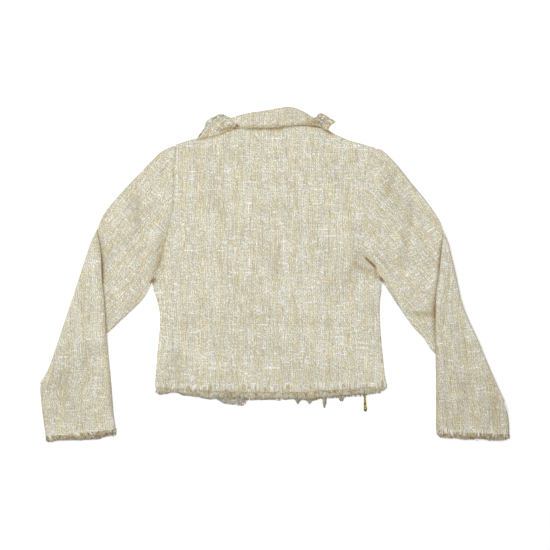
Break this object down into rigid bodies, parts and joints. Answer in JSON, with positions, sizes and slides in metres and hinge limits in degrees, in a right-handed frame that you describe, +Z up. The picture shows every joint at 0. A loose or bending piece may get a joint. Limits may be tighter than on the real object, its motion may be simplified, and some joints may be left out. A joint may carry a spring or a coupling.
{
  "type": "cropped tweed jacket",
  "caption": "Unlined cropped tweed jacket with frayed edges and a metal zip pull, lying flat face down with its sleeves folded at the elbow.",
  "frame": {"origin": "centre of the jacket's plan on the surface that it lies on", "axes": "+Z up from the surface to the back panel, +Y towards the collar, +X towards the wearer's right sleeve"},
  "size_m": [0.8696, 0.6222, 0.0115],
  "materials": {
    "tweed": "thick cream and tan boucle tweed with slub yarns, matt",
    "tweed_wrong_side": "wrong side of the same tweed, greyer, with white and blue-grey floats",
    "fringe_yarn": "loose unspun yarn ends, matt",
    "zip_tape": "woven herringbone tape with brass teeth",
    "brass": "aged brass, satin, darker in its hollows"
  },
  "bodies": {
    "jacket": {"back": "tweed", "front_left": "tweed", "front_right": "tweed", "front_right_overlap": "tweed", "sleeve_left": "tweed", "sleeve_right": "tweed", "collar": "tweed", "collar_end_left": "tweed_wrong_side", "collar_end_right": "tweed_wrong_side", "fringe_hem_back": "fringe_yarn", "fringe_hem_left": "fringe_yarn", "fringe_hem_right": "fringe_yarn", "fringe_hem_overlap": "fringe_yarn", "fringe_cuff_left": "fringe_yarn", "fringe_cuff_right": "fringe_yarn", "fringe_collar": "fringe_yarn", "zip_left": "zip_tape", "zip_right": "zip_tape", "zip_slider": "brass"},
    "pull_tab": {"zip_pull": "brass"}
  },
  "joints": [
    {"name": "pull_tab_hinge", "type": "hinge", "parent": "jacket", "child": "pull_tab", "pos_m": [0.1659, -0.22517, 0.00185], "axis": [-0.9986, -0.0523, 0], "range_deg": [0, 80]}
  ]
}
